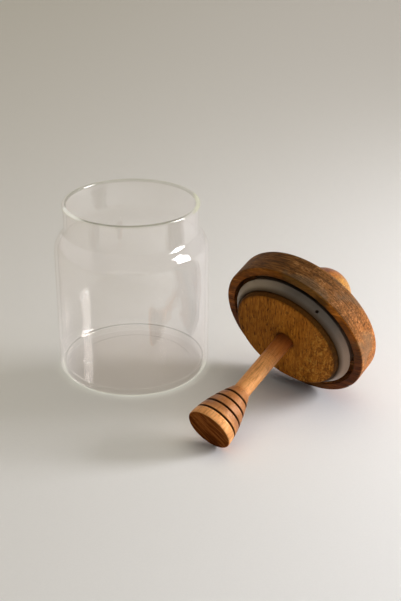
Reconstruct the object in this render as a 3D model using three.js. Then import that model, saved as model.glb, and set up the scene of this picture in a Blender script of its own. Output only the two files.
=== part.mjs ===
// Glass honey jar with its wooden cap. The jar stands open. The cap lies beside it on its
// skirt and on the head of the honey dipper that is fixed under it. Millimetres, +Z up, origin
// at the centre of the jar's base, +X towards the cap.
import * as THREE from "three";

const DEGREE = Math.PI / 180;

// Jar: a blown glass body, a shoulder and a wide neck with a melted, rounded rim.
const jar = {
  height: 110.6,
  bodyRadius: 48,
  neckRadius: 41.5,
  rimRadius: 42.1,
  rimRound: 1.3, // half the thickness of the rim's bead
  rimBlend: 4, // height over which the neck swells into the bead
  wall: 2.2,
  floor: 4.2,
  heelRound: 5, // outer corner between base and body
  floorRound: 2.6, // inner corner between floor and body
  shoulderStart: 79, // height where the body starts to turn in
  shoulderRound: 15,
  neckRound: 3, // hollow curve between shoulder and neck
};

// Cap: all stations run along its axis from the skirt's lower edge, positive towards the
// dipper's head and negative towards the knob.
const cap = {
  radius: 48,
  skirtInnerRadius: 42.6,
  skirtEdgeRound: 1.4,
  skirtInnerRound: 0.4,
  thickness: 17.2,
  topEdgeRound: 2.2,
  grooveDepth: 9, // from the skirt's edge to the groove's floor
};

// Plug: the wooden disc that carries the seal and goes into the jar's mouth.
const plug = {
  radius: 35.2,
  edgeRound: 0.9,
  face: 8.4, // station of its lower face
};

// Seal: a soft ring round the plug, whose lip slopes back to the jar's inner wall.
const seal = {
  lipRadius: 40.2,
  lipStation: 0.2,
  lipThickness: 1.2,
  innerStation: 6, // where its face meets the plug
  bodyRadius: 38,
};

// Dipper: one turned piece, a round stem with a grooved head.
const dipper = {
  stemRadius: 5.15,
  rootRadius: 5.5, // the stem is a little thicker where it enters the plug
  rootLength: 14,
  tenonLength: 6,
  headStart: 53.6,
  headEnd: 84.7,
  headRadius: 14.1,
  headWidest: 83.4,
  headNeckRadius: 5.7, // what the head would narrow to at its start
  headCurve: 1.6, // power of the head's outline: 1 would be a cone
  shoulderRound: 1,
  endRound: 0.7,
  discs: 5,
  grooveWidth: 1.2,
  grooveDepth: 3.2,
};

// Knob: a turned ball on a short neck, on top of the cap.
const knob = {
  ballRadius: 17.8,
  reach: 50.6, // from the skirt's edge to the top of the ball
  neckRadius: 11,
  neckRound: 1.2, // hollow curve where the neck spreads onto the cap
  tenonRadius: 5,
  tenonLength: 6,
};

// Where the cap lies: its skirt's centre seen from above, and the bearing of its axis
// counted from +X towards +Y.
const lying = { x: 97.8, y: -41.9, bearing: 230.45 * DEGREE };

const GAP = 0.3; // clearance between pieces that are glued or pressed together
const FLOOR_CLEARANCE = 0.02;

const colours = {
  glass: new THREE.Color(0.86, 0.89, 0.85),
  capWood: new THREE.Color(0.3, 0.16, 0.075),
  plugWood: new THREE.Color(0.36, 0.18, 0.07),
  dipperWood: new THREE.Color(0.55, 0.3, 0.14),
  silicone: new THREE.Color(0.62, 0.6, 0.56),
};

const glass = new THREE.MeshStandardMaterial({
  color: colours.glass,
  roughness: 0.04,
  metalness: 0,
  transparent: true,
  opacity: 0.35,
});
const wood = (color) => new THREE.MeshStandardMaterial({ color, roughness: 0.55, metalness: 0 });
const silicone = new THREE.MeshStandardMaterial({
  color: colours.silicone,
  roughness: 0.6,
  metalness: 0,
});

const point = (radius, height) => new THREE.Vector2(radius, height);

// Points of an arc about (radius, height), from one angle to another, both ends included.
function arc(radius, height, round, from, to, steps) {
  return Array.from({ length: steps + 1 }, (_, i) => {
    const angle = from + ((to - from) * i) / steps;
    return point(radius + round * Math.cos(angle), height + round * Math.sin(angle));
  });
}

// A solid turned about +Z. The outline runs so that the solid lies on its left, and it starts
// and ends on the axis or closes on itself.
function turned(outline, sides) {
  return new THREE.LatheGeometry(outline, sides).rotateX(Math.PI / 2);
}

function mesh(name, geometry, material) {
  const made = new THREE.Mesh(geometry, material);
  made.name = name;
  return made;
}

// The turn of the shoulder, shared by the jar's outer and inner faces: the arc of the shoulder
// meets the hollow arc of the neck where both have the same slope.
function shoulderTurn() {
  const reach = jar.shoulderRound + jar.neckRound;
  return Math.acos(1 - (jar.bodyRadius - jar.neckRadius) / reach);
}

function glassJar() {
  const turn = shoulderTurn();
  const shoulderCentre = jar.bodyRadius - jar.shoulderRound;
  const hollowCentre = jar.neckRadius + jar.neckRound;
  const neckStart = jar.shoulderStart + (jar.shoulderRound + jar.neckRound) * Math.sin(turn);
  const heelCentre = jar.bodyRadius - jar.heelRound;
  const innerBody = jar.bodyRadius - jar.wall;
  const innerNeck = jar.neckRadius - jar.wall;
  const rimCentre = jar.height - jar.rimRound;

  const outside = [
    point(0, 0),
    ...arc(heelCentre, jar.heelRound, jar.heelRound, -Math.PI / 2, 0, 5),
    ...arc(shoulderCentre, jar.shoulderStart, jar.shoulderRound, 0, turn, 6),
    ...arc(hollowCentre, neckStart, jar.neckRound, Math.PI + turn, Math.PI, 3).slice(1),
    point(jar.neckRadius, rimCentre - jar.rimBlend),
  ];
  const rim = arc(jar.rimRadius - jar.rimRound, rimCentre, jar.rimRound, 0, Math.PI, 6);
  const inside = [
    point(innerNeck, rimCentre - jar.rimBlend),
    ...arc(hollowCentre, neckStart, jar.neckRound + jar.wall, Math.PI, Math.PI + turn, 4),
    ...arc(shoulderCentre, jar.shoulderStart, jar.shoulderRound - jar.wall, turn, 0, 5).slice(1),
    ...arc(innerBody - jar.floorRound, jar.floor + jar.floorRound, jar.floorRound, 0, -Math.PI / 2, 4),
    point(0, jar.floor),
  ];
  return mesh("glass_jar", turned([...outside, ...rim, ...inside], 64), glass);
}

// The cap's disc and skirt: a groove round the plug's seat takes the jar's rim, and a blind
// hole in its top takes the knob's tenon.
function woodenCap() {
  const top = -cap.thickness;
  const tenonHole = knob.tenonRadius + GAP;
  const outline = [
    point(0, -cap.grooveDepth),
    point(cap.skirtInnerRadius, -cap.grooveDepth),
    ...arc(cap.skirtInnerRadius + cap.skirtInnerRound, -cap.skirtInnerRound, cap.skirtInnerRound,
      Math.PI, Math.PI / 2, 2),
    ...arc(cap.radius - cap.skirtEdgeRound, -cap.skirtEdgeRound, cap.skirtEdgeRound,
      Math.PI / 2, 0, 3),
    ...arc(cap.radius - cap.topEdgeRound, top + cap.topEdgeRound, cap.topEdgeRound,
      0, -Math.PI / 2, 5),
    point(tenonHole, top),
    point(tenonHole, top + knob.tenonLength + GAP),
    point(0, top + knob.tenonLength + GAP),
  ];
  return mesh("lid", turned(outline.reverse(), 64), wood(colours.capWood));
}

// The plug's disc, with the blind hole that the dipper's tenon sits in.
function lidPlug() {
  const back = GAP - cap.grooveDepth;
  const hole = dipper.rootRadius + GAP;
  const holeFloor = plug.face - dipper.tenonLength - GAP;
  const outline = [
    point(0, back),
    ...arc(plug.radius - plug.edgeRound, back + plug.edgeRound, plug.edgeRound, -Math.PI / 2, 0, 1),
    ...arc(plug.radius - plug.edgeRound, plug.face - plug.edgeRound, plug.edgeRound,
      0, Math.PI / 2, 3),
    point(hole, plug.face),
    point(hole, holeFloor),
    point(0, holeFloor),
  ];
  return mesh("lid_plug", turned(outline, 64), wood(colours.plugWood));
}

// The seal's ring: a body against the plug and a thin lip that slopes out and back.
function sealRing() {
  const inner = plug.radius + GAP;
  const back = GAP - cap.grooveDepth;
  const half = seal.lipThickness / 2;
  const outline = [
    point(inner, back),
    point(seal.bodyRadius, back),
    point(seal.bodyRadius, seal.lipStation - seal.lipThickness),
    ...arc(seal.lipRadius - half, seal.lipStation, half, -Math.PI / 2, Math.PI / 4, 4),
    point(inner + half, seal.innerStation),
    point(inner, seal.innerStation),
    point(inner, back),
  ];
  return mesh("seal_ring", turned(outline, 64), silicone);
}

// The radius of the dipper's head at a station, before its grooves are cut.
function headRadiusAt(station) {
  const away = Math.abs(dipper.headWidest - station) / (dipper.headWidest - dipper.headStart);
  return dipper.headRadius - (dipper.headRadius - dipper.headNeckRadius) * away ** dipper.headCurve;
}

// The head's discs from the stem to the end, with the grooves between them.
function headOutline() {
  const pitch = (dipper.headEnd - dipper.headStart) / dipper.discs;
  const outline = [];
  for (let disc = 0; disc < dipper.discs; disc++) {
    const first = disc === 0;
    const last = disc === dipper.discs - 1;
    const start = dipper.headStart + disc * pitch + (first ? 0 : dipper.grooveWidth / 2);
    const end = dipper.headStart + (disc + 1) * pitch - (last ? 0 : dipper.grooveWidth / 2);
    if (first) {
      const shoulder = start + dipper.shoulderRound;
      outline.push(...arc(headRadiusAt(shoulder) - dipper.shoulderRound, shoulder,
        dipper.shoulderRound, -Math.PI / 2, 0, 3));
    } else {
      outline.push(point(headRadiusAt(start) - dipper.grooveDepth, start));
      outline.push(point(headRadiusAt(start), start));
    }
    outline.push(point(headRadiusAt((start + end) / 2), (start + end) / 2));
    if (last) {
      const round = dipper.endRound;
      outline.push(...arc(headRadiusAt(end - round) - round, end - round, round, 0, Math.PI / 2, 3));
    } else {
      outline.push(point(headRadiusAt(end), end));
      outline.push(point(headRadiusAt(end) - dipper.grooveDepth, end));
    }
  }
  return outline;
}

function honeyDipper() {
  const outline = [
    point(0, plug.face - dipper.tenonLength),
    point(dipper.rootRadius, plug.face - dipper.tenonLength),
    point(dipper.rootRadius, plug.face),
    point(dipper.stemRadius, plug.face + dipper.rootLength),
    ...headOutline(),
    point(0, dipper.headEnd),
  ];
  return mesh("dipper", turned(outline, 32), wood(colours.dipperWood));
}

// The ball's underside meets the neck at the height where the ball is as wide as the neck, and
// the neck spreads in a hollow curve onto the cap.
function ballKnob() {
  const seat = -cap.thickness - GAP;
  const ballCentre = knob.ballRadius - knob.reach;
  const join = Math.acos(knob.neckRadius / knob.ballRadius);
  const spread = knob.neckRadius + knob.neckRound;
  const outline = [
    ...arc(0, ballCentre, knob.ballRadius, -Math.PI / 2, join, 12),
    ...arc(spread, seat - knob.neckRound, knob.neckRound, Math.PI, Math.PI / 2, 3),
    point(knob.tenonRadius, seat),
    point(knob.tenonRadius, knob.tenonLength - cap.thickness),
    point(0, knob.tenonLength - cap.thickness),
  ];
  return mesh("knob", turned(outline, 32), wood(colours.dipperWood));
}

// The cap leans on two round edges, the skirt's and the head's. The floor is the line that
// touches both from outside, which gives the tilt of the axis and the height of its origin.
function lyingPose() {
  const skirt = point(cap.radius - cap.skirtEdgeRound, -cap.skirtEdgeRound);
  const headStation = dipper.headEnd - dipper.endRound;
  const head = point(headRadiusAt(headStation) - dipper.endRound, headStation);
  const along = head.y - skirt.y;
  const inwards = skirt.x - head.x;
  const rounds = cap.skirtEdgeRound - dipper.endRound;
  const tilt = Math.atan2(inwards, along) + Math.asin(rounds / Math.hypot(along, inwards));
  const height = skirt.x * Math.cos(tilt) + skirt.y * Math.sin(tilt) + cap.skirtEdgeRound;
  return { tilt, height: height + FLOOR_CLEARANCE };
}

// The cap with all that is fixed to it, laid down: its own +Z points from the knob to the
// dipper's head, and its own +X points to the floor.
function lyingCap() {
  const { tilt, height } = lyingPose();
  const leaning = new THREE.Group();
  leaning.add(woodenCap(), lidPlug(), sealRing(), honeyDipper(), ballKnob());
  leaning.rotation.y = Math.PI / 2 + tilt;
  leaning.rotation.order = "ZYX";
  leaning.rotation.z = lying.bearing;
  leaning.position.set(lying.x, lying.y, height);
  return leaning;
}

const honeyJar = new THREE.Group();
honeyJar.add(glassJar(), lyingCap());
export default honeyJar;
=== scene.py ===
"""Looks of the glass honey jar and its wooden dipper cap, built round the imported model.

Outlines are in millimetres, turned about +Z. The cap's pieces share one lying pose.
"""

from math import acos, asin, atan2, ceil, cos, hypot, pi, radians, sin

import bpy
from mathutils import Matrix, Vector, noise


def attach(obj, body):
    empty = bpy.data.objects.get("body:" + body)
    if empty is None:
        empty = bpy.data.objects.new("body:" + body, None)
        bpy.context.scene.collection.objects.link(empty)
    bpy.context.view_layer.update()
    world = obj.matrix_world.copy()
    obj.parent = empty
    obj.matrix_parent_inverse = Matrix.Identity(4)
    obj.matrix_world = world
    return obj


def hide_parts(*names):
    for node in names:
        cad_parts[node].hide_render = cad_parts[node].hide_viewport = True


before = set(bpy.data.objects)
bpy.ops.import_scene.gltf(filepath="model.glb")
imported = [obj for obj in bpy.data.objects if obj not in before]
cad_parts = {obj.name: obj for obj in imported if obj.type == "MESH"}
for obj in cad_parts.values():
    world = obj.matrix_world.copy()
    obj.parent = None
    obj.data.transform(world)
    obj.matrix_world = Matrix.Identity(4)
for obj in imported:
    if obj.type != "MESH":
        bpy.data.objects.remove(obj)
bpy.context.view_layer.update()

MM = 0.001
GAP = 0.3  # clearance between pieces that are glued or pressed together

# Jar
JAR_HEIGHT = 110.6
BODY_RADIUS = 48.0
NECK_RADIUS = 41.5
RIM_RADIUS = 42.1
RIM_ROUND = 1.3
RIM_BLEND = 4.0
WALL = 2.2
JAR_FLOOR = 4.2
HEEL_ROUND = 5.0
FLOOR_ROUND = 2.6
SHOULDER_START = 79.0
SHOULDER_ROUND = 15.0
NECK_ROUND = 3.0

# Unevenness of the blown glass, outside the flat middle of its floor
EVEN_RADIUS = 30.0
NECK_LEVEL = 92.0
NECK_HALF_WALL = 0.6
EVEN_FOOT = 12.0
EVEN_TOP_FROM = 94.0
EVEN_TOP_TO = 104.0

# Cap: stations run along its axis from the skirt's edge towards the dipper's head
CAP_RADIUS = 48.0
SKIRT_INNER = 42.6
SKIRT_ROUND = 1.4
SKIRT_INNER_ROUND = 0.4
CAP_THICKNESS = 17.2
TOP_ROUND = 2.2
GROOVE_DEPTH = 9.0
PLUG_RADIUS = 35.2
PLUG_ROUND = 2.0
PLUG_FACE = 8.4
PLUG_HOLE_ROUND = 0.25
LIP_RADIUS = 40.2
LIP_STATION = 0.2
LIP_THICKNESS = 1.2
SEAL_INNER_STATION = 5.4
SEAL_BODY_RADIUS = 38.0
STEM_RADIUS = 5.15
ROOT_RADIUS = 5.5
ROOT_LENGTH = 14.0
TENON_LENGTH = 6.0
HEAD_START = 53.6
HEAD_END = 84.7
HEAD_RADIUS = 14.1
HEAD_WIDEST = 83.4
HEAD_NECK_RADIUS = 5.7
HEAD_CURVE = 1.6
HEAD_SHOULDER_ROUND = 1.0
HEAD_END_ROUND = 0.7
DISCS = 5
DISC_PITCH = (HEAD_END - HEAD_START) / DISCS
DISC_EDGE_ROUND = 0.22
GROOVE_WIDTH = 1.2
HEAD_GROOVE_DEPTH = 3.2
BALL_RADIUS = 17.8
KNOB_REACH = 50.6
KNOB_NECK_RADIUS = 11.0
KNOB_NECK_ROUND = 1.2
KNOB_TENON_RADIUS = 5.0

# The small hole in the seal's sloping face
HOLE_AT = Vector((-29.18, 25.01, 2.75))
HOLE_RADIUS = 1.0
HOLE_DEPTH = 6.0
CONE_SLOPE = radians(36)

# Where the cap lies
LYING_X = 97.8
LYING_Y = -41.9
LYING_BEARING = radians(230.45)
FLOOR_CLEARANCE = 0.02

# How many sides stand for a full turn
JAR_SIDES = 224
CAP_SIDES = 192
SLIM_SIDES = 128
HOLE_SIDES = 24


# Shapes


def arc(radius, height, round_, start, end, steps):
    """Points of an arc about (radius, height), from one angle to another."""
    turns = [start + (end - start) * i / steps for i in range(steps + 1)]
    return [(radius + round_ * cos(a), height + round_ * sin(a)) for a in turns]


def dense(outline, step):
    """The outline with every stretch cut into pieces of at most step."""
    points = [outline[0]]
    for (r0, z0), (r1, z1) in zip(outline, outline[1:]):
        count = max(1, ceil(hypot(r1 - r0, z1 - z0) / step))
        points += [(r0 + (r1 - r0) * i / count, z0 + (z1 - z0) * i / count)
                   for i in range(1, count + 1)]
    return points


def new_object(name, data):
    thing = bpy.data.objects.new(name, data)
    bpy.context.scene.collection.objects.link(thing)
    return thing


def new_mesh(name, verts, faces):
    mesh = bpy.data.meshes.new(name)
    mesh.from_pydata(verts, [], faces)
    return mesh


def turned(name, outline, sides, place=Matrix(), wave=None, sharp=40):
    """A solid turned about its own +Z; the outline runs from axis to axis, or closes on itself."""
    closed = outline[0] == outline[-1]
    ring_points = outline[:-1] if closed else outline[1:-1]
    verts = []
    for r, z in ring_points:
        for side in range(sides):
            turn = 2 * pi * side / sides
            p = Vector((r * cos(turn), r * sin(turn), z))
            verts.append(wave(p, turn) if wave else p)
    rings = len(ring_points)
    faces = []
    for ring in range(rings if closed else rings - 1):
        low = ring * sides
        high = (ring + 1) % rings * sides
        for side in range(sides):
            after = (side + 1) % sides
            faces.append((low + side, low + after, high + after, high + side))
    if not closed:
        first = len(verts)
        verts += [Vector((0, 0, outline[0][1])), Vector((0, 0, outline[-1][1]))]
        last_ring = (rings - 1) * sides
        for side in range(sides):
            after = (side + 1) % sides
            faces.append((first, after, side))
            faces.append((first + 1, last_ring + side, last_ring + after))
    mesh = new_mesh(name, [place @ (v * MM) for v in verts], faces)
    mesh.shade_smooth()
    mesh.set_sharp_from_angle(angle=radians(sharp))
    return new_object(name, mesh)


def jar_outline():
    turn = acos(1 - (BODY_RADIUS - NECK_RADIUS) / (SHOULDER_ROUND + NECK_ROUND))
    shoulder = BODY_RADIUS - SHOULDER_ROUND
    hollow = NECK_RADIUS + NECK_ROUND
    neck_start = SHOULDER_START + (SHOULDER_ROUND + NECK_ROUND) * sin(turn)
    heel = BODY_RADIUS - HEEL_ROUND
    inner_corner = BODY_RADIUS - WALL - FLOOR_ROUND
    rim = JAR_HEIGHT - RIM_ROUND
    outline = [(0, 0)]
    outline += arc(heel, HEEL_ROUND, HEEL_ROUND, -pi / 2, 0, 14)
    outline += arc(shoulder, SHOULDER_START, SHOULDER_ROUND, 0, turn, 18)
    outline += arc(hollow, neck_start, NECK_ROUND, pi + turn, pi, 8)[1:]
    outline += [(NECK_RADIUS, rim - RIM_BLEND)]
    outline += arc(RIM_RADIUS - RIM_ROUND, rim, RIM_ROUND, 0, pi, 20)
    outline += [(NECK_RADIUS - WALL, rim - RIM_BLEND)]
    outline += arc(hollow, neck_start, NECK_ROUND + WALL, pi, pi + turn, 10)
    outline += arc(shoulder, SHOULDER_START, SHOULDER_ROUND - WALL, turn, 0, 16)[1:]
    outline += arc(inner_corner, JAR_FLOOR + FLOOR_ROUND, FLOOR_ROUND, 0, -pi / 2, 10)
    outline += [(0, JAR_FLOOR)]
    return dense(outline, 1.6)


def blown(p, turn):
    """Moves a point of the jar as uneven blown glass is: never out of the true outline."""
    r = hypot(p.x, p.y)
    if r < EVEN_RADIUS:
        return p
    out = Vector((p.x / r, p.y / r, 0))
    in_neck = p.z > NECK_LEVEL
    inner = r < (NECK_RADIUS - NECK_HALF_WALL if in_neck else BODY_RADIUS - WALL / 2)
    seed = Vector((17, 5, 3)) if inner else Vector((0, 0, 0))

    def uneven(around, upwards, shift):
        spot = Vector((cos(turn) * around, sin(turn) * around, p.z * upwards))
        return noise.noise(spot + shift)

    streak = uneven(3.1, 0.012, seed)
    ripple = uneven(1.2, 0.05, -seed)
    if inner:
        return p + out * (0.14 * streak + 0.1 * ripple)
    inwards = 0.08 * (1 + streak) + 0.06 * (1 + ripple)
    above_foot = min(1, max(0, p.z) / EVEN_FOOT)
    below_rim = min(1, max(0, EVEN_TOP_TO - p.z) / (EVEN_TOP_TO - EVEN_TOP_FROM))
    return p - out * inwards * above_foot * below_rim


def cap_outline():
    top = -CAP_THICKNESS
    hole = KNOB_TENON_RADIUS + GAP
    outline = [(0, -GROOVE_DEPTH), (SKIRT_INNER, -GROOVE_DEPTH)]
    outline += arc(SKIRT_INNER + SKIRT_INNER_ROUND, -SKIRT_INNER_ROUND, SKIRT_INNER_ROUND,
                   pi, pi / 2, 5)
    outline += arc(CAP_RADIUS - SKIRT_ROUND, -SKIRT_ROUND, SKIRT_ROUND, pi / 2, 0, 10)
    outline += arc(CAP_RADIUS - TOP_ROUND, top + TOP_ROUND, TOP_ROUND, 0, -pi / 2, 10)
    outline += [(hole, top), (hole, top + TENON_LENGTH + GAP), (0, top + TENON_LENGTH + GAP)]
    return dense(outline[::-1], 2)


def plug_outline():
    back = GAP - GROOVE_DEPTH
    hole = ROOT_RADIUS + GAP
    hole_floor = PLUG_FACE - TENON_LENGTH - GAP
    outline = [(0, back)]
    outline += arc(PLUG_RADIUS - PLUG_ROUND, back + PLUG_ROUND, PLUG_ROUND, -pi / 2, 0, 4)
    outline += arc(PLUG_RADIUS - PLUG_ROUND, PLUG_FACE - PLUG_ROUND, PLUG_ROUND, 0, pi / 2, 8)
    outline += arc(hole + PLUG_HOLE_ROUND, PLUG_FACE - PLUG_HOLE_ROUND, PLUG_HOLE_ROUND,
                   pi / 2, pi, 4)
    outline += [(hole, hole_floor), (0, hole_floor)]
    return dense(outline, 2)


def seal_outline():
    inner = PLUG_RADIUS + GAP
    back = GAP - GROOVE_DEPTH
    half = LIP_THICKNESS / 2
    outline = [(inner, back), (SEAL_BODY_RADIUS, back)]
    outline += [(SEAL_BODY_RADIUS, LIP_STATION - LIP_THICKNESS)]
    outline += arc(LIP_RADIUS - half, LIP_STATION, half, -pi / 2, pi / 4, 10)
    outline += arc(inner + half, SEAL_INNER_STATION - half / 2, half / 2, pi / 4, pi, 6)
    outline += [(inner, SEAL_INNER_STATION - half / 2), (inner, back)]
    clean = [outline[0]]
    for point in outline[1:]:
        if hypot(point[0] - clean[-1][0], point[1] - clean[-1][1]) > 0.01:
            clean.append(point)
    return dense(clean, 1.5)


def head_radius(station):
    away = abs(HEAD_WIDEST - station) / (HEAD_WIDEST - HEAD_START)
    return HEAD_RADIUS - (HEAD_RADIUS - HEAD_NECK_RADIUS) * away ** HEAD_CURVE


def head_arc(middle, widest, round_, start, end, steps):
    """A rounded edge of the head about one station, as wide as the head is at another."""
    return arc(head_radius(widest) - round_, middle, round_, start, end, steps)


def dipper_outline():
    edge = DISC_EDGE_ROUND
    outline = [(0, PLUG_FACE - TENON_LENGTH), (ROOT_RADIUS, PLUG_FACE - TENON_LENGTH)]
    outline += [(ROOT_RADIUS, PLUG_FACE), (STEM_RADIUS, PLUG_FACE + ROOT_LENGTH)]
    outline += [(STEM_RADIUS, HEAD_START - 0.5)]
    for disc in range(DISCS):
        last = disc == DISCS - 1
        start = HEAD_START + disc * DISC_PITCH + (GROOVE_WIDTH / 2 if disc else 0)
        end = HEAD_START + (disc + 1) * DISC_PITCH - (0 if last else GROOVE_WIDTH / 2)
        if disc:
            outline += [(head_radius(start) - HEAD_GROOVE_DEPTH, start)]
            outline += head_arc(start + edge, start, edge, -pi / 2, 0, 3)
        else:
            s = start + HEAD_SHOULDER_ROUND
            outline += head_arc(s, s, HEAD_SHOULDER_ROUND, -pi / 2, 0, 6)
        between = [start + (end - start) * i / 4 for i in range(1, 4)]
        outline += [(head_radius(s), s) for s in between]
        if last:
            s = end - HEAD_END_ROUND
            outline += head_arc(s, s, HEAD_END_ROUND, 0, pi / 2, 6)
        else:
            outline += head_arc(end - edge, end, edge, 0, pi / 2, 3)
            outline += [(head_radius(end) - HEAD_GROOVE_DEPTH, end)]
    outline += [(0, HEAD_END)]
    return dense(outline, 1.2)


def knob_outline():
    seat = -CAP_THICKNESS - GAP
    tenon_end = TENON_LENGTH - CAP_THICKNESS
    centre = BALL_RADIUS - KNOB_REACH
    join = acos(KNOB_NECK_RADIUS / BALL_RADIUS)
    spread = KNOB_NECK_RADIUS + KNOB_NECK_ROUND
    outline = arc(0, centre, BALL_RADIUS, -pi / 2, join, 60)
    outline[0] = (0, centre - BALL_RADIUS)
    outline += arc(spread, seat - KNOB_NECK_ROUND, KNOB_NECK_ROUND, pi, pi / 2, 8)
    outline += [(KNOB_TENON_RADIUS, seat), (KNOB_TENON_RADIUS, tenon_end), (0, tenon_end)]
    return dense(outline, 1.5)


def lying_pose():
    """The cap leans on its skirt's edge and on the edge of the dipper's head."""
    skirt_r, skirt_s = CAP_RADIUS - SKIRT_ROUND, -SKIRT_ROUND
    head_s = HEAD_END - HEAD_END_ROUND
    head_r = head_radius(head_s) - HEAD_END_ROUND
    along = head_s - skirt_s
    inwards = skirt_r - head_r
    tilt = atan2(inwards, along) + asin((SKIRT_ROUND - HEAD_END_ROUND) / hypot(along, inwards))
    height = skirt_r * cos(tilt) + skirt_s * sin(tilt) + SKIRT_ROUND + FLOOR_CLEARANCE
    turn = Matrix.Rotation(LYING_BEARING, 4, "Z") @ Matrix.Rotation(pi / 2 + tilt, 4, "Y")
    return Matrix.Translation(Vector((LYING_X, LYING_Y, height)) * MM) @ turn


CAP_PLACE = lying_pose()


def pierced(piece, centre, axis, radius, depth):
    """Cuts a round hole in one of the cap's pieces."""
    side = axis.orthogonal().normalized()
    other = axis.cross(side)
    verts = []
    for end in (-depth / 2, depth / 2):
        for i in range(HOLE_SIDES):
            a = 2 * pi * i / HOLE_SIDES
            around = (side * cos(a) + other * sin(a)) * radius
            verts.append(CAP_PLACE @ ((centre + axis * end + around) * MM))
    faces = [tuple(reversed(range(HOLE_SIDES))), tuple(range(HOLE_SIDES, 2 * HOLE_SIDES))]
    for i in range(HOLE_SIDES):
        after = (i + 1) % HOLE_SIDES
        faces.append((i, after, HOLE_SIDES + after, HOLE_SIDES + i))
    mesh = new_mesh("punch", verts, faces)
    punch = new_object("punch", mesh)
    cut = piece.modifiers.new("hole", "BOOLEAN")
    cut.operation = "DIFFERENCE"
    cut.solver = "EXACT"
    cut.object = punch
    bpy.context.view_layer.update()
    ready = piece.evaluated_get(bpy.context.evaluated_depsgraph_get())
    piece.data = bpy.data.meshes.new_from_object(ready)
    piece.modifiers.clear()
    bpy.data.objects.remove(punch)
    bpy.data.meshes.remove(mesh)


# Materials


class Nodes:
    """A short way to write the nodes of a material, or of the room round the part."""

    def __init__(self, owner, place=Matrix()):
        self.owner = owner
        self.origin = place
        owner.use_nodes = True
        self.tree = owner.node_tree
        self.tree.nodes.clear()

    def add(self, kind, inputs=None, **settings):
        node = self.tree.nodes.new("ShaderNode" + kind)
        for key, value in settings.items():
            setattr(node, key, value)
        for key, value in (inputs or {}).items():
            self.put(node.inputs[key], value)
        return node

    def put(self, socket, value):
        """Links a node or a socket to the socket, or sets it; a colour may leave out alpha."""
        if isinstance(value, bpy.types.Node):
            value = value.outputs[0]
        if isinstance(value, bpy.types.NodeSocket):
            self.tree.links.new(value, socket)
        else:
            if socket.type == "RGBA" and len(value) == 3:
                value = (*value, 1)
            socket.default_value = value

    def math(self, operation, a, b=0.0, c=0.0):
        return self.add("Math", {0: a, 1: b, 2: c}, operation=operation).outputs[0]

    def plus(self, first, *others):
        for other in others:
            first = self.math("ADD", first, other)
        return first

    def times(self, first, *others):
        for other in others:
            first = self.math("MULTIPLY", first, other)
        return first

    def scaled(self, value, factor, base):
        """value x factor + base"""
        return self.math("MULTIPLY_ADD", value, factor, base)

    def mix(self, share, a, b, blend="MIX"):
        return self.add("Mix", {0: share, 6: a, 7: b}, data_type="RGBA",
                        blend_type=blend).outputs[2]

    def ramp(self, value, low, high):
        """0 to 1, smoothly, as value goes from low to high."""
        return self.add("MapRange", {0: value, 1: low, 2: high},
                        interpolation_type="SMOOTHSTEP").outputs[0]

    def between(self, value, rise, fall):
        """1 between two smooth edges, each given as (where it is 0, where it is 1)."""
        return self.times(self.ramp(value, *rise), self.ramp(value, *fall))

    def place(self, spin=(0, 0, 0), scale=(1, 1, 1), shift=(0, 0, 0)):
        """The piece's own coordinates in millimetres, turned and then stretched."""
        coords = self.add("TexCoord").outputs["Object"]
        own = self.add("Mapping", {
            "Vector": coords, "Location": self.origin.to_translation(),
            "Rotation": self.origin.to_euler()}, vector_type="TEXTURE")
        spun = self.add("VectorRotate", {"Vector": own, "Rotation": spin},
                        rotation_type="EULER_XYZ")
        return self.add("Mapping", {"Vector": spun, "Location": shift,
                                    "Scale": tuple(s / MM for s in scale)})

    def position(self):
        """The piece's own x, y, z and distance from its axis, in millimetres."""
        parts = self.add("SeparateXYZ", {0: self.place()})
        x, y, z = (parts.outputs[axis] for axis in "XYZ")
        flat = self.add("CombineXYZ", {"X": x, "Y": y})
        return x, y, z, self.add("VectorMath", {0: flat}, operation="LENGTH").outputs["Value"]

    def noise(self, where, scale, detail=3.0, rough=0.55, distortion=0.0):
        return self.add("TexNoise", {"Vector": where, "Scale": scale, "Detail": detail,
                                     "Roughness": rough, "Distortion": distortion}).outputs[0]

    def bump(self, height, strength, distance):
        return self.add("Bump", {"Height": height, "Strength": strength, "Distance": distance})

    def over(self, share, under, upper):
        return self.add("MixShader", {0: share, 1: under, 2: upper})

    def finish(self, shader):
        self.add("OutputMaterial", {"Surface": shader})
        return self.owner


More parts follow.
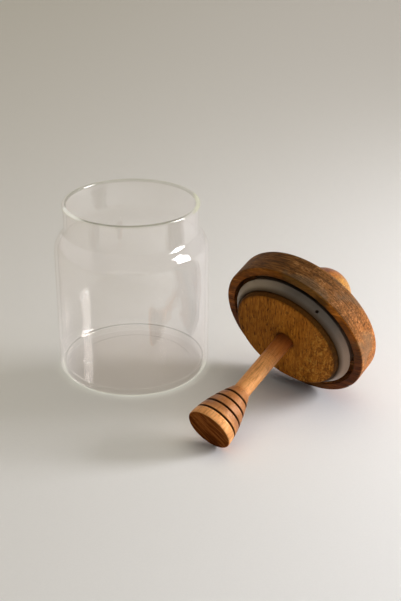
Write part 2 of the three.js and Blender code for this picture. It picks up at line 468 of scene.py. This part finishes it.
def clear_glass():
    """Thin clear glass: it mirrors more and lets less through the more it is seen edge on.

    Zones paint in what thick glass does to the light: a greener melted rim with a painted
    dark inner line, a painted greenish-yellow patch that glows on its right and a painted glint
    on its left front, a painted dark line at the floor's inner corner, an arc under the floor,
    a heel with a painted highlight that glows, and a pale painted veil of light that glows at
    the sides."""
    n = Nodes(bpy.data.materials.new("clear_glass"))
    smear = n.noise(n.place(), 0.05, detail=2.0)
    streaks = n.noise(n.place(scale=(1, 1, 0.3)), 0.14, detail=2.0)
    seeds = n.noise(n.place(), 0.3, detail=1.0)
    height = n.plus(n.times(smear, 0.65), n.times(streaks, 0.28), n.times(seeds, 0.07))
    side, depth, level, radius = n.position()

    # Zones
    rim = n.ramp(level, JAR_HEIGHT - 1.9, JAR_HEIGHT - 1.2)
    # Painted dark line along the rim's inner edge, strongest in front
    painted_rim_line = n.times(rim, n.ramp(radius, 40.6, 40.1), n.scaled(n.ramp(depth, 38, -6), 0.6, 0.25))
    # Painted greenish-yellow patch on the rim's right side, which also glows
    painted_green_patch = n.times(rim, n.ramp(side, 36.5, 40.5))
    # Painted glint on the rim's left front: more mirror and a glow
    glint = n.times(rim, n.ramp(side, -24, -33), n.ramp(depth, -9, -15))
    # Painted dark line at the floor's inner corner, fading out towards the front
    corner = n.times(n.between(radius, (43.5, 43.9), (44.9, 44.4)),
                     n.between(level, (3.9, 4.15), (6.0, 5.4)), n.ramp(depth, -28, 4))
    plate = n.times(n.ramp(level, 4.9, 4.4), n.ramp(radius, 43.4, 42.6))
    foot = n.times(n.between(radius, (35.6, 36.2), (37.2, 36.6)),
                   n.ramp(level, 0.6, 0.3), n.ramp(depth, 2, 18))
    # Painted highlight at the heel: more mirror and a glow, strongest in front
    heel = n.times(n.ramp(radius, 43.8, 44.6), n.ramp(level, 2.5, 1.5),
                   n.scaled(n.ramp(depth, 14, -8), 0.8, 0.12),
                   n.scaled(n.ramp(seeds, 0.4, 0.62), 0.4, 0.6))
    wall = n.times(n.ramp(radius, 42.5, 44.5), n.ramp(level, 80, 25))
    # Painted pale veil of light that glows on the right and left sides
    painted_haze_right = n.times(n.ramp(side, 22, 46), n.ramp(level, 4, 34), 0.07)
    painted_haze_left = n.times(n.ramp(side, -24, -45), n.ramp(level, 70, 25), 0.06)

    # How much it mirrors
    edge_on = n.add("LayerWeight", {"Blend": 0.5}).outputs["Facing"]
    veil = n.scaled(n.ramp(level, 6, 60), 0.02, n.scaled(wall, 0.035, 0.045))
    mirror = n.plus(n.scaled(n.math("POWER", edge_on, 4.0), 0.75, veil),
                    n.times(heel, 0.4), n.times(glint, 0.7))
    mirror = n.math("MINIMUM", mirror, 0.92)

    # What it lets through
    tint = n.mix(n.ramp(edge_on, 0.8, 0.99), (1.0, 0.995, 0.99), (0.84, 0.85, 0.81))
    for share, colour in ((n.times(rim, 0.3), (0.84, 0.86, 0.77)),
                          (painted_rim_line, (0.46, 0.46, 0.38)),
                          (n.times(painted_green_patch, 0.8), (0.95, 1.0, 0.66)),
                          (plate, (0.94, 0.922, 0.905)),
                          (corner, (0.66, 0.64, 0.6)),
                          (foot, (0.8, 0.78, 0.75))):
        tint = n.mix(share, tint, colour)

    clear = n.add("BsdfTransparent", {"Color": tint})
    shine = n.add("BsdfAnisotropic", {"Color": (1, 0.98, 0.975), "Roughness": 0.0,
                                      "Normal": n.bump(height, 0.6, 0.001)})
    glass = n.over(mirror, clear, shine)
    # Painted pale veil of light that glows, mixed in at the sides
    painted_haze_glow = n.add("Emission", {"Color": (0.84, 0.81, 0.82)})
    glass = n.over(n.plus(painted_haze_right, painted_haze_left), glass, painted_haze_glow)
    # Painted glow: the heel, the glint and the rim's right side glow though no lamp is there
    painted_glow_share = n.plus(n.times(heel, 0.6), n.times(glint, 0.5), n.times(painted_green_patch, 0.3))
    painted_gleam = n.add("Emission", {"Color": (0.8, 0.79, 0.66)})
    glass = n.over(n.math("MINIMUM", painted_glow_share, 0.8), glass, painted_gleam)
    through = n.add("BsdfTransparent", {"Color": (0.985, 0.985, 0.98)})
    shadow = n.add("LightPath").outputs["Is Shadow Ray"]
    return n.finish(n.over(shadow, glass, through))


class Wood(Nodes):
    """Oiled wood whose grain runs along local X after the spin, in millimetres."""

    LINE_STRETCH = 0.06

    def __init__(self, name, dark, mid, light, spin, seed, contrast=1.0, thread=0.5, pores=0.5,
                 pore_length=0.16):
        super().__init__(bpy.data.materials.new(name), CAP_PLACE)
        self.dark = dark
        along = self.place(spin, (self.LINE_STRETCH, 1, 1), seed)
        short = self.place(spin, (pore_length, 1, 1), seed)
        bands = self.noise(along, 0.22, detail=2.0, distortion=0.3)
        self.fine = self.noise(short, 0.85, detail=4.0, rough=0.65)
        lines = self.noise(along, 0.95, rough=0.6)
        pore = self.ramp(self.noise(short, 1.25, detail=1.0, rough=0.5), 0.58, 0.7)
        tone = self.plus(self.times(self.ramp(bands, 0.3, 0.7), 0.3 * contrast),
                         self.times(self.ramp(self.fine, 0.3, 0.7), 0.4), 0.3 - 0.15 * contrast)
        self.colour = self.mix(self.ramp(tone, 0.1, 0.5), dark, mid)
        self.stain(self.ramp(tone, 0.5, 0.9), light)
        self.stain(self.times(self.ramp(lines, 0.5, 0.68), thread), dark)
        self.stain(self.times(pore, pores), tuple(c * 0.45 for c in dark))
        self.height = self.math("SUBTRACT", self.times(self.fine, 0.5), self.times(pore, 0.6))
        self.x, self.y, self.z, self.r = self.position()

    def stain(self, share, colour):
        self.colour = self.mix(share, self.colour, colour)

    def toned(self, share, factors):
        """The share of the wood takes its colour times the factors."""
        self.colour = self.mix(share, self.colour, factors, blend="MULTIPLY")

    def turning_rings(self, amount):
        rings = self.noise(self.place(scale=(0, 0, 1)), 1.1, rough=0.7)
        self.height = self.plus(self.height, self.times(rings, amount * 2))
        self.stain(self.times(self.ramp(rings, 0.5, 0.68), amount), self.dark)

    def done(self, roughness, shine, shine_colour=(1, 0.62, 0.32)):
        return self.finish(self.add("BsdfPrincipled", {
            "Base Color": self.colour,
            "Roughness": self.plus(roughness, self.times(self.fine, 0.12)),
            "Normal": self.bump(self.height, 0.45, 0.00025),
            "Specular IOR Level": shine, "Specular Tint": shine_colour}))


def cap_wood():
    """Streaked round its sides, dotted at the grain's end, with grey-brown clouds; painted light
    pales one side, and painted light and shade tone the skirt's edge face by side.
    """
    w = Wood("cap_wood", dark=(0.046, 0.018, 0.005), mid=(0.185, 0.075, 0.02),
             light=(0.42, 0.2, 0.07), spin=(0, 0, radians(-97)), seed=(3, 9, 4),
             contrast=1.0, thread=0.75, pores=0.5, pore_length=0.12)
    cloud = w.noise(w.place(scale=(0.6, 0.6, 1)), 0.06, distortion=0.5)
    w.stain(w.times(w.ramp(cloud, 0.47, 0.6), w.ramp(w.z, -17.1, -15.5), 0.65),
            (0.105, 0.075, 0.045))
    turning = w.noise(w.place(scale=(0.035, 0.035, 1)), 1.7, rough=0.65)
    w.height = w.plus(w.height, w.times(turning, 0.5))
    w.stain(w.times(w.ramp(turning, 0.47, 0.62), w.ramp(w.x, 6, -26), 0.75),
            (0.055, 0.026, 0.009))
    # Painted light: paler towards +x
    w.toned(w.ramp(w.x, -46, 2), (1.9, 1.65, 1.45))
    # Painted shade and painted light on the skirt's edge face, by side
    skirt_face = w.ramp(w.z, -1.1, -0.35)
    for start, end, factors in ((-30, 12, (0.31, 0.21, 0.13)), (12, -30, (1.35, 1.05, 0.42)),
                                (34, 45, (1.8, 2.1, 1.2))):
        w.toned(w.times(skirt_face, w.ramp(w.x, start, end)), factors)
    return w.done(0.5, 0.1)


def plug_wood():
    """Short dark flecks, coarser ones to one side, painted shade in a ring round the stem,
    and painted shade at the face's rim and on the side wall by the seal.
    """
    w = Wood("plug_wood", dark=(0.13, 0.04, 0.003), mid=(0.42, 0.148, 0.015),
             light=(0.64, 0.28, 0.045), spin=(0, 0, radians(14)), seed=(31, 2, 8),
             contrast=0.3, thread=0.6, pores=0.75, pore_length=0.2)
    coarse = w.ramp(w.plus(w.times(w.y, 0.85), w.times(w.x, 0.45)), 6, 22)
    swirl = w.noise(w.place((0, 0, radians(30)), (0.5, 1, 1)), 0.42, distortion=1.4)
    w.stain(w.times(coarse, w.ramp(swirl, 0.5, 0.6), 0.6), (0.1, 0.035, 0.004))
    w.stain(w.times(coarse, w.ramp(swirl, 0.46, 0.36), 0.55), (0.6, 0.33, 0.06))
    # Painted shade in a ring round the stem
    w.stain(w.times(w.ramp(w.r, 8.2, 5.8), 0.6), (0.1, 0.03, 0.003))
    # Painted shade at the face's rim and on the side wall by the seal
    w.toned(w.times(w.ramp(w.r, 32.4, 34.0), 0.4), (0.5, 0.45, 0.4))
    w.stain(w.times(w.ramp(w.r, 33.2, 34.3), w.ramp(w.z, 8.38, 7.9), 0.85), (0.05, 0.02, 0.005))
    return w.done(0.55, 0.06)


def dipper_wood():
    """Turned wood, fine rings across it, painted light and shade along it, painted shade in
    the grooves, and an end face darker as end grain is and deepened by painted shade.
    """
    w = Wood("turned_wood", dark=(0.36, 0.12, 0.02), mid=(0.7, 0.29, 0.08),
             light=(0.82, 0.4, 0.15), spin=(0, radians(90), 0), seed=(5, 5, 5),
             contrast=0.35, thread=0.12, pores=0.3)
    w.turning_rings(0.6)

    # Painted light and shade along it: painted shade at the root, painted light on the stem,
    #     # painted shade on the head and a painted highlight on the last disc
    w.toned(w.ramp(w.z, 33, 16), (0.6, 0.44, 0.24))
    w.toned(w.ramp(w.z, 18, 9), (0.5, 0.4, 0.3))
    w.toned(w.between(w.z, (52, 56), (79, 75)), (0.48, 0.43, 0.42))
    w.toned(w.between(w.z, (20, 32), (54, 50)), (1.13, 1.2, 1.3))
    w.toned(w.ramp(w.z, 77, 80), (1.12, 1.2, 1.35))

    # Its end face: darker as end grain is, deepened by painted shade
    end = w.ramp(w.z, HEAD_END - 0.45, HEAD_END - 0.08)
    streak = w.noise(w.place((0, 0, radians(-44)), (0.12, 1, 1)), 0.6)
    w.toned(end, w.mix(w.ramp(streak, 0.38, 0.62), (0.17, 0.1, 0.06), (0.42, 0.3, 0.22)))

    # Painted shade in its grooves, by the distance to the nearest one in shares of the pitch
    phase = w.math("FRACT", w.math("DIVIDE", w.math("SUBTRACT", w.z, HEAD_START), DISC_PITCH))
    off_middle = w.math("ABSOLUTE", w.math("SUBTRACT", phase, 0.5))
    near = w.math("ABSOLUTE", w.math("SUBTRACT", off_middle, 0.5))
    w.stain(w.times(w.ramp(near, 0.16, 0.08), w.between(w.z, (57, 58.5), (80.5, 80)), 0.85),
            (0.05, 0.014, 0.003))
    return w.done(0.36, w.scaled(end, -0.45, 0.45), (1, 0.8, 0.6))


def knob_wood():
    """Painted shade on one side and painted light, golden and pale, on the other."""
    w = Wood("knob_wood", dark=(0.13, 0.033, 0.003), mid=(0.37, 0.115, 0.01),
             light=(0.58, 0.24, 0.05), spin=(0, radians(90), 0), seed=(15, 25, 35),
             contrast=0.8, thread=0.6, pores=0.7, pore_length=0.4)
    # Painted shade on one side and painted golden light on the other
    w.toned(w.ramp(w.y, 7, 1), (0.5, 0.35, 0.15))
    w.toned(w.ramp(w.y, 7, 12.5), (1.2, 1.75, 3.0))
    return w.done(0.28, 0.6, (1, 0.75, 0.5))


def silicone():
    """Grey silicone with painted light, brownish and pale, toward its ends and one side, and a
    painted shadow and painted reflection of the wood beside the plug.
    """
    n = Nodes(bpy.data.materials.new("silicone"), CAP_PLACE)
    cloud = n.noise(n.place(), 0.12, detail=4.0)
    dust = n.ramp(n.noise(n.place(), 2.4), 0.55, 0.8)
    x, y, _, radius = n.position()
    upwards = n.plus(n.times(x, -0.81), n.times(y, 0.59))
    along = n.plus(n.times(x, 0.59), n.times(y, 0.81))
    colour = n.mix(n.ramp(cloud, 0.3, 0.7), (0.125, 0.105, 0.085), (0.15, 0.125, 0.102))
    # Painted light, brownish and pale, toward the two ends and one side
    for share, other in ((n.ramp(n.times(along, -1), 12, 40), (0.46, 0.37, 0.27)),
                         (n.ramp(along, 12, 37), (0.36, 0.25, 0.18)),
                         (n.ramp(upwards, 6, -14), (0.5, 0.45, 0.4)),
                         # Painted shadow and painted reflection of the wood beside the plug
                         (n.times(n.ramp(radius, 38.4, 36.2), 0.9), (0.06, 0.032, 0.012)),
                         (n.times(dust, 0.25), (0.1, 0.085, 0.07))):
        colour = n.mix(share, colour, other)
    return n.finish(n.add("BsdfPrincipled", {
        "Base Color": colour, "Roughness": n.plus(0.5, n.times(cloud, 0.15)),
        "Normal": n.bump(n.noise(n.place(), 3.0), 0.25, 0.0001),
        "Specular IOR Level": 0.15, "Specular Tint": (1, 0.85, 0.7)}))


def floor_paper():
    n = Nodes(bpy.data.materials.new("floor_paper"))
    grain = n.noise(n.place(), 0.9, detail=4.0)
    colour = n.mix(grain, (0.78, 0.78, 0.775), (0.82, 0.82, 0.815))
    return n.finish(n.add("BsdfPrincipled", {"Base Color": colour, "Roughness": 0.85,
                                             "Specular IOR Level": 0.2}))


# Pieces


def put(piece, node, material):
    piece.data.materials.append(material)
    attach(piece, "root")
    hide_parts(node)


jar = turned("jar_glass", jar_outline(), JAR_SIDES, wave=blown, sharp=60)
put(jar, "glass_jar", clear_glass())

disc = turned("cap_disc", cap_outline(), CAP_SIDES, CAP_PLACE)
put(disc, "lid", cap_wood())

plug = turned("cap_plug", plug_outline(), CAP_SIDES, CAP_PLACE)
put(plug, "lid_plug", plug_wood())

seal = turned("cap_seal", seal_outline(), CAP_SIDES, CAP_PLACE)
hole_axis = HOLE_AT.xy.normalized().to_3d() * cos(CONE_SLOPE) + Vector((0, 0, sin(CONE_SLOPE)))
pierced(seal, HOLE_AT, hole_axis, HOLE_RADIUS, HOLE_DEPTH)
put(seal, "seal_ring", silicone())

dipper = turned("cap_dipper", dipper_outline(), SLIM_SIDES, CAP_PLACE, sharp=50)
put(dipper, "dipper", dipper_wood())

knob = turned("cap_knob", knob_outline(), SLIM_SIDES, CAP_PLACE)
put(knob, "knob", knob_wood())


# Floor, light and camera

FLOOR_SIZE = 12.0
FLOOR_LEVEL = -0.0001

ROOM_FILL = (1.37, 1.24, 0.97)  # light from overhead
ROOM_LOW = (0.02, 0.018, 0.014)  # light from lower down
ROOM_FILL_FROM = 0.7  # how steep a direction is, from 0 level to 1 upright
ROOM_FILL_FULL = 0.97
ROOM_SEEN = (0.63, 0.6, 0.575)  # what the eye, gloss and glass see of the room

WINDOW = (0.75, -0.011, 0.22)
WINDOW_TARGET = (0, -0.03, 0.03)
WINDOW_SIZE = (0.2, 0.26)
WINDOW_POWER = 5.95
WINDOW_COLOUR = (1.0, 0.985, 1.03)
GLOW = (0.78, -0.03, 0.34)
GLOW_SIZE = (0.22, 0.6)
GLOW_STRENGTH = 25
GLOW_COLOUR = (1, 0.99, 1)
SOFT_SIZE = (1.2, 1.2)
SOFT_BACK = (0.63, 1.139, 0.503)
SOFT_BACK_TARGET = (0.63, 1.14, 0)
SOFT_BACK_POWER = 1.1
SOFT_BACK_COLOUR = (1.0, 0.96, 1.07)
SOFT_FRONT = (0.709, -0.709, 0.5)
SOFT_FRONT_TARGET = (0.709, -0.708, 0)
SOFT_FRONT_POWER = 3.0
SOFT_FRONT_COLOUR = (0.93, 1.0, 1.17)

CAMERA_PLACE = (0.04266, -0.6093, 0.3383)
CAMERA_PITCH = radians(64.21)
CAMERA_ROLL = radians(0.456)
SENSOR = 36.0
FOCAL_PIXELS = 1068.0
PHOTO_HEIGHT = 601.0


def sheet(name, size, level, material):
    """A flat rectangle about its own origin."""
    w, h = size[0] / 2, size[1] / 2
    corners = [(-w, -h, level), (w, -h, level), (w, h, level), (-w, h, level)]
    mesh = new_mesh(name, corners, [(0, 1, 2, 3)])
    mesh.materials.append(material)
    return new_object(name, mesh)


def aim(thing, where, target):
    thing.location = where
    thing.rotation_euler = (Vector(target) - Vector(where)).to_track_quat("-Z", "Y").to_euler()


def before_diffuse(n, path):
    """1 for rays that haven't met a matt surface yet."""
    return n.math("LESS_THAN", path.outputs["Diffuse Depth"], 0.5)


def room():
    """The room lights from above, and looks evenly pale behind, in gloss and in glass."""
    n = Nodes(bpy.data.worlds.new("room"))
    direction = n.add("SeparateXYZ", {0: n.add("TexCoord").outputs["Generated"]})
    overhead = n.ramp(direction.outputs["Z"], ROOM_FILL_FROM, ROOM_FILL_FULL)
    fill = n.mix(overhead, ROOM_LOW, ROOM_FILL)
    path = n.add("LightPath")
    seen = n.mix(before_diffuse(n, path), (0, 0, 0), ROOM_SEEN)
    shiny = n.math("MAXIMUM", path.outputs["Is Glossy Ray"], path.outputs["Is Transmission Ray"])
    looked_at = n.math("MAXIMUM", shiny, path.outputs["Is Camera Ray"])
    light = n.add("Background", {"Color": n.mix(looked_at, fill, seen)})
    n.add("OutputWorld", {"Surface": light})
    bpy.context.scene.world = n.owner


def area_light(name, where, target, size, power, colour):
    lamp = bpy.data.lights.new(name, "AREA")
    lamp.shape = "RECTANGLE"
    lamp.size, lamp.size_y = size
    lamp.energy = power
    lamp.color = colour
    holder = new_object(name, lamp)
    aim(holder, where, target)
    holder.visible_camera = False
    holder.visible_glossy = False
    holder.visible_transmission = False


def glow(name, where, target, size, strength, colour):
    """A bright card that only gloss and glass show, for the window's reflections."""
    n = Nodes(bpy.data.materials.new(name))
    first = before_diffuse(n, n.add("LightPath"))
    shade = n.add("Emission", {"Color": colour, "Strength": n.times(first, strength)})
    card = sheet(name, size, 0, n.finish(shade))
    aim(card, where, target)
    card.visible_camera = False
    card.visible_diffuse = False
    card.visible_shadow = False


floor = sheet("floor", (FLOOR_SIZE, FLOOR_SIZE), FLOOR_LEVEL, floor_paper())

room()
area_light("window", WINDOW, WINDOW_TARGET, WINDOW_SIZE, WINDOW_POWER, WINDOW_COLOUR)
glow("window_glow", GLOW, WINDOW_TARGET, GLOW_SIZE, GLOW_STRENGTH, GLOW_COLOUR)
area_light("soft_back", SOFT_BACK, SOFT_BACK_TARGET, SOFT_SIZE, SOFT_BACK_POWER,
           SOFT_BACK_COLOUR)
area_light("soft_front", SOFT_FRONT, SOFT_FRONT_TARGET, SOFT_SIZE, SOFT_FRONT_POWER,
           SOFT_FRONT_COLOUR)

camera = new_object("camera", bpy.data.cameras.new("camera"))
camera.data.sensor_width = SENSOR
camera.data.lens = FOCAL_PIXELS / PHOTO_HEIGHT * SENSOR
camera.matrix_world = (Matrix.Translation(CAMERA_PLACE) @ Matrix.Rotation(CAMERA_PITCH, 4, "X")
                       @ Matrix.Rotation(CAMERA_ROLL, 4, "Z"))
bpy.context.scene.camera = camera
bpy.context.scene.view_settings.view_transform = "Standard"
